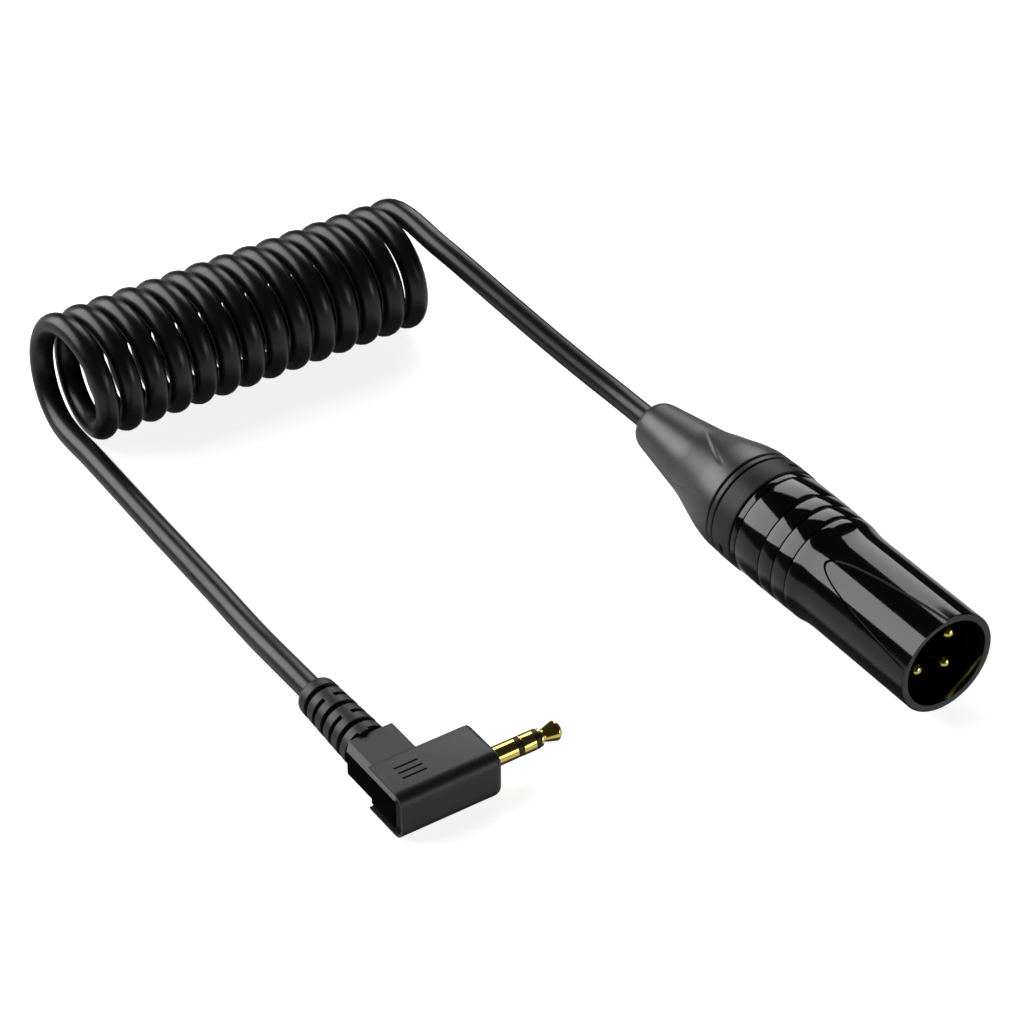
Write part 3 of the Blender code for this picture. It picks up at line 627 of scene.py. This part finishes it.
def make_sleeve():
    """The soft boot, with crescent-edged facets round its waist."""
    end = XLR_LENGTH
    hole = CORD_RADIUS + GAP
    outline = eased([(SLEEVE_FRONT, 10.2, 0.35), (54.6, 10.15, 0.8), (57.6, 9.65, 1.2), (62.3, 8.35, 1.5),
                     (66.6, 7.08, 1.5), (end, 4.62, 1.9), (end, hole + 0.35, 0.25),
                     (end - 6.0, hole), (66.3, hole),
                     (66.3, 5.2), (59.2, 7.55), (SLEEVE_FRONT, 7.95)], 7)
    facets = [ROLL + math.radians(10.0 + 120.0 * number) for number in range(3)]
    first, last = 55.0, 67.0
    depth = 0.3

    def scallop(along, radius, angle):
        """A crescent crease along both edges of each facet, running out softly on its outside."""
        if radius < 4.8 or not first < along < last:
            return 0.0
        share = (along - first) / (last - first)
        half = math.radians(20.0 + 32.0 * share ** 1.4)
        drop = 0.0
        for facet in facets:
            outside = (abs(math.remainder(angle - facet, 2.0 * math.pi)) - half) * radius
            if abs(outside) > 6.0:
                continue
            crease = math.exp(-(outside / 0.36) ** 2)
            slope = 0.45 * math.exp(-outside / 1.8) if outside > 0.0 else 0.45 * math.exp(outside / 0.2)
            drop = max(drop, crease, slope)
        return -depth * drop * math.sin(math.pi * share) ** 1.2

    sleeve = finished("xlr_boot_surface", turned(subdivided(outline, 0.4), 288, xlr_place, scallop),
                      "boot_rubber", 40.0)
    piece(sleeve, "boot", "boot_rubber", "xlr_boot_sleeve")


# ---------------------------------------------------------------- jack plug
def make_housing():
    """The moulded body round the jack, with its open back and three grip marks."""
    low = (PLUG_BACK_X, PLUG_FRONT_Y, 0.0)
    high = (PLUG_FACE_X, ARM_Y, PLUG_HEIGHT)

    def front(edge):
        return along_axis(edge, 0) and edge.verts[0].co.y < PIN_Y

    body = box(low, high)
    big = [edge for edge in body.edges if front(edge)]
    bmesh.ops.bevel(body, geom=big, offset=PLUG_SIDE_ROUND, segments=12, profile=0.5, affect="EDGES")
    face = [edge for edge in body.edges
            if min(v.co.x for v in edge.verts) > PLUG_FACE_X - 1e-3]
    bmesh.ops.bevel(body, geom=face, offset=PLUG_FACE_ROUND, segments=8, profile=0.5, affect="EDGES")
    back = [edge for edge in body.edges
            if along_axis(edge, 0) and edge.verts[0].co.y > ARM_Y - 1e-3]
    bmesh.ops.bevel(body, geom=back, offset=0.25, segments=3, profile=0.5, affect="EDGES")
    housing = finished("plug_housing_surface", body, "plug_plastic")
    cutters = [
        finished("cutter_cavity", box((PLUG_BACK_X - 1.0, PLUG_FRONT_Y + PLUG_WALL, PLUG_WALL),
                                      (PLUG_FACE_X - 2.2, ARM_Y - PLUG_WALL,
                                       PLUG_HEIGHT - PLUG_WALL)), None),
        finished("cutter_mouth", box((PLUG_BACK_X - 1.0, PLUG_FRONT_Y + MOUTH_WALL, MOUTH_WALL),
                                     (PLUG_BACK_X + CORE_THICK + GAP, ARM_Y + 4.0, PLUG_HEIGHT - MOUTH_WALL),
                                     2.0, 10, front), None),
        finished("cutter_window", box((PLUG_BACK_X + 2.7, ARM_Y - 2.0, 3.2),
                                      (PLUG_BACK_X + 7.5, ARM_Y + 2.0, 7.0)), None),
        finished("cutter_hole", turned([(-5.0, 0.0), (-5.0, JACK_RADIUS + 0.15), (5.0, JACK_RADIUS + 0.15),
                                        (5.0, 0.0)], 64, jack_place), None),
    ]
    for number in range(3):
        y = ARM_Y - 2.85 - GRIP_MARK_PITCH * number
        x = PLUG_BACK_X + 3.0
        mark = box((x, y - 0.19, PLUG_HEIGHT - 0.3),
                   (x + GRIP_MARK_LENGTH, y + 0.19, PLUG_HEIGHT + 1.0), 0.12, 3,
                   lambda edge: along_axis(edge, 2))
        cutters.append(finished(f"cutter_mark_{number + 1}", mark, None))
    cut(housing, cutters)
    piece(housing, "plug_side", "plug_plastic", "plug_housing")


def corner(y, z, radius, start, end, steps):
    """A rounded corner of an outline in the YZ plane, its arc turning from start to end degrees."""
    points = []
    for step in range(steps + 1):
        angle = math.radians(start + (end - start) * step / steps)
        points.append((y + radius * math.cos(angle), z + radius * math.sin(angle)))
    return points


def make_core():
    """The inner moulding: the plate that closes the housing's back, and the cable arm."""
    split_y = ARM_Y + GAP
    front = [(split_y, CORE_HIGH)]
    front += corner(CORE_FRONT_Y + CORE_CORNER, CORE_HIGH - CORE_CORNER, CORE_CORNER, 90.0, 180.0, 10)
    front += corner(CORE_FRONT_Y + CORE_CORNER, CORE_LOW + CORE_CORNER, CORE_CORNER, 180.0, 270.0, 10)
    front += [(split_y, CORE_LOW), (split_y, ARM_LOW)]
    rear = [(split_y, ARM_LOW), (ARM_END_Y, ARM_LOW), (ARM_END_Y, CORE_HIGH), (split_y, CORE_HIGH)]
    plate_x = PLUG_BACK_X + CORE_THICK
    bm = bmesh.new()
    corners = {}
    faces = []
    for outline in (front, rear):
        ring = []
        for y, z in outline:
            key = (round(y, 4), round(z, 4))
            if key not in corners:
                corners[key] = bm.verts.new((plate_x, y, z))
            ring.append(corners[key])
        faces.append(bm.faces.new(ring))
    made = bmesh.ops.extrude_face_region(bm, geom=faces)["geom"]
    back = [item for item in made if isinstance(item, bmesh.types.BMVert)]
    bmesh.ops.translate(bm, vec=(-CORE_THICK, 0.0, 0.0), verts=back)
    back_faces = [item for item in made if isinstance(item, bmesh.types.BMFace)]
    bmesh.ops.dissolve_faces(bm, faces=back_faces)
    rim = [edge for edge in bm.edges
           if all(vert.co.x < PLUG_BACK_X + 1e-3 for vert in edge.verts)]
    bmesh.ops.bevel(bm, geom=rim, offset=CORE_CHAMFER, segments=1, affect="EDGES")
    arm_face = faces[1]
    made = bmesh.ops.extrude_face_region(bm, geom=[arm_face])["geom"]
    if arm_face.is_valid:
        bm.faces.remove(arm_face)
    tip = [item for item in made if isinstance(item, bmesh.types.BMVert)]
    bmesh.ops.translate(bm, vec=(ARM_WIDTH - CORE_THICK, 0.0, 0.0), verts=tip)
    core = finished("plug_core_surface", bm, "plug_plastic")
    # painted shade: faces looking along -X take the near-black, non-reflecting finish, for the shade on the
    # end that faces away from the lamps
    core.data.materials.append(MATERIALS["core_end_painted_shade"])
    for face in core.data.polygons:
        if face.normal.x < -0.98:
            face.material_index = 1
    bore_radius = RELIEF_COLLAR + GAP
    bore = turned([(1.0, 0.0), (1.0, bore_radius), (-8.0, bore_radius), (-8.0, 0.0)], 48, relief_place)
    cavity = box((ARM_X - CAVITY_HALF_X, ARM_Y - 1.0, RELIEF_Z - CAVITY_HALF_Z),
                 (ARM_X + CAVITY_HALF_X, ARM_END_Y - 1.5, RELIEF_Z + CAVITY_HALF_Z))
    cut(core, [finished("cutter_core_cavity", cavity, None), finished("cutter_core_bore", bore, None)])
    piece(core, "plug_side", "plug_plastic", "plug_core")


def make_relief():
    """The ribbed soft tail: full grooves alternate with slots that leave a bridge on two sides."""
    root, tail = 4.15, 3.6
    pitch, width, core = 2.7, 0.95, 2.95
    last_groove = RELIEF_LENGTH - 2.9
    hole = CORD_RADIUS + 0.05
    half = width / 2.0

    def surface(along):
        return root + (tail - root) * along / RELIEF_LENGTH

    outline = [(-1.9, hole), (-1.9, RELIEF_COLLAR), (0.02, RELIEF_COLLAR), (0.02, surface(0.02))]
    for number in range(3):
        along = last_groove - 2.0 * pitch * (2 - number)
        outline += [(along - half, surface(along), 0.16), (along - half, core, 0.1),
                    (along + half, core, 0.1), (along + half, surface(along), 0.16)]
    outline += [(RELIEF_LENGTH, tail, 1.0), (RELIEF_LENGTH, hole, 0.15)]
    relief = finished("plug_relief_surface", turned(eased(outline), 96, relief_place), "relief_rubber")
    turn = Matrix.Rotation(math.radians(-10.0), 3, "Y")
    cutters = []
    for number in range(3):
        along = last_groove - pitch * (2 * number + 1)
        for side in (1.0, -1.0):
            low = (min(side * 0.9, side * 6.0), along - half, -6.0)
            high = (max(side * 0.9, side * 6.0), along + half, 6.0)
            slot = box(low, high)
            bmesh.ops.rotate(slot, cent=(0, 0, 0), verts=slot.verts, matrix=turn)
            bmesh.ops.translate(slot, vec=(ARM_X, ARM_END_Y, RELIEF_Z), verts=slot.verts)
            cutter = finished(f"cutter_slot_{number}_{side:.0f}", slot, None)
            inner = turned([(along - 2.0, 0.0), (along - 2.0, core), (along + 2.0, core),
                            (along + 2.0, 0.0)], 96, relief_place)
            cut(cutter, [finished("cutter_inner", inner, None)])
            cutters.append(cutter)
    cut(relief, cutters)
    piece(relief, "plug_side", "relief_rubber", "plug_strain_relief")


def make_jack():
    """The gold sleeve, ring and tip with black insulators between them."""
    rod, inner_tube, ring_tube, outer_tube, wall = 0.4, 0.72, 1.08, 1.38, 1.48
    r = JACK_RADIUS
    g = PIN_GAP
    sleeve_end, ring_start, ring_end, tip_start = 5.05, 6.1, 8.55, 9.6
    soft = 0.09
    pieces = {
        "jack_sleeve": ("gold_plate", [
            (-4.0, wall), (-4.0, 2.7), (-2.5, 2.7), (-2.5, r), (sleeve_end, r, soft), (sleeve_end, wall)]),
        "jack_insulator_rear": ("insert_plastic", [
            (-5.2, ring_tube + g), (-5.2, outer_tube), (sleeve_end + g, outer_tube),
            (sleeve_end + g, r - 0.04, soft), (ring_start - g, r - 0.04, soft),
            (ring_start - g, ring_tube + g)]),
        "jack_ring": ("gold_plate", [
            (-6.4, inner_tube + g), (-6.4, ring_tube), (ring_start, ring_tube), (ring_start, r, soft),
            (ring_end, r, soft), (ring_end, inner_tube + g)]),
        "jack_insulator_front": ("insert_plastic", [
            (-7.4, rod + g), (-7.4, inner_tube), (ring_end + g, inner_tube),
            (ring_end + g, r - 0.04, soft), (tip_start - g, r - 0.04, soft), (tip_start - g, rod + g)]),
        "jack_tip": ("gold_plate", [
            (-8.4, 0.0), (-8.4, rod), (tip_start, rod), (tip_start, 1.6, soft), (tip_start + 0.38, 1.6, 0.1),
            (tip_start + 0.85, 1.05, 0.25), (12.7, 1.7, 0.25), (13.05, r, 0.15), (13.5, 1.45, 0.2),
            (JACK_LENGTH, 0.7, 0.18), (JACK_LENGTH, 0.0)]),
    }
    for name, (slot, outline) in pieces.items():
        obj = finished(name + "_surface", turned(eased(outline), 72, jack_place), slot)
        piece(obj, "plug_side", slot, name)


# ---------------------------------------------------------------- pieces that keep their CAD shape
def finish_kept_nodes():
    """Give the inner parts that stay as CAD nodes their procedural finish."""
    slots = {"xlr_insert": "insert_plastic", "xlr_chuck": "chuck_plastic"}
    for prefix in ("xlr_wire_", "plug_wire_"):
        for end, slot in (("hot", "wire_red"), ("tip", "wire_red"), ("cold", "wire_white"),
                          ("ring", "wire_white"), ("screen", "wire_copper")):
            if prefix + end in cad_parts:
                slots[prefix + end] = slot
    for name, slot in slots.items():
        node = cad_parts[name]
        node.data.materials.clear()
        node.data.materials.append(MATERIALS[slot])
        shade(node.data, 35.0)


# ---------------------------------------------------------------- floor and light
def make_stage():
    """A plain pale floor that glows a little, so that the shadows on it stay faint."""
    bm = bmesh.new()
    bmesh.ops.create_grid(bm, x_segments=8, y_segments=8, size=1500.0)
    floor = finished("floor", bm, "floor")
    floor.location.z = -0.0001
    floor.visible_glossy = False
    shader = MATERIALS["floor"].node_tree.nodes["Principled BSDF"]
    shader.inputs["Emission Color"].default_value = (1.0, 1.0, 1.0, 1.0)
    shader.inputs["Emission Strength"].default_value = FLOOR_GLOW


def softbox(name, around, along, width, length, radiance):
    """A rectangular light of even radiance, seen from the XLR plug around its axis at an angle from +X
    towards +Z and leaning along +Y; width is measured around the axis."""
    across = math.sqrt(1.0 - along * along)
    angle = math.radians(around)
    heading = Vector((across * math.cos(angle), along, across * math.sin(angle)))
    tangent = Vector((-math.sin(angle), 0.0, math.cos(angle)))
    light = bpy.data.lights.new(name, "AREA")
    light.shape = "RECTANGLE"
    light.size = width
    light.size_y = length
    light.energy = radiance * math.pi * width * length
    obj = bpy.data.objects.new(name, light)
    target = Vector((XLR_X, 0.0, XLR_Z)) * MM
    third = heading.cross(tangent)
    turn = Matrix((tangent, third, heading)).transposed()
    obj.matrix_world = Matrix.Translation(target + heading * LIGHT_DISTANCE) @ turn.to_4x4()
    bpy.context.scene.collection.objects.link(obj)


def make_lights():
    """Softboxes behind and in front, and a dim room that is paler below the horizon."""
    world = bpy.data.worlds.new("studio")
    world.use_nodes = True
    nodes, links = world.node_tree.nodes, world.node_tree.links
    place = nodes.new("ShaderNodeTexCoord")
    split = nodes.new("ShaderNodeSeparateXYZ")
    links.new(place.outputs["Generated"], split.inputs["Vector"])
    ramp = nodes.new("ShaderNodeValToRGB")
    stops = ((0.0, 0.04), (0.125, 0.05), (0.17, 0.55), (0.40, 0.50), (0.46, 0.02), (0.55, 0.02), (1.0, 0.02))
    while len(ramp.color_ramp.elements) < len(stops):
        ramp.color_ramp.elements.new(0.5)
    for element, (position, value) in zip(ramp.color_ramp.elements, stops):
        element.position = position
        element.color = (value, value, value, 1.0)
    height = nodes.new("ShaderNodeMapRange")
    height.inputs["From Min"].default_value = -1.0
    links.new(split.outputs["Z"], height.inputs["Value"])
    links.new(height.outputs["Result"], ramp.inputs["Fac"])
    links.new(ramp.outputs["Color"], nodes["Background"].inputs["Color"])
    bpy.context.scene.world = world
    softbox("left", 141.0, 0.666, 0.62, 1.05, 4.0)
    softbox("right", 46.0, 0.666, 0.62, 0.42, 2.8)
    softbox("front", 17.0, -0.88, 0.30, 0.55, 2.6)


bpy.context.scene.view_settings.view_transform = "Standard"
MATERIALS = make_materials()
make_camera()
make_cord()
make_shell()
make_pins()
make_ring()
make_nut()
make_sleeve()
make_housing()
make_core()
make_relief()
make_jack()
finish_kept_nodes()
make_stage()
make_lights()
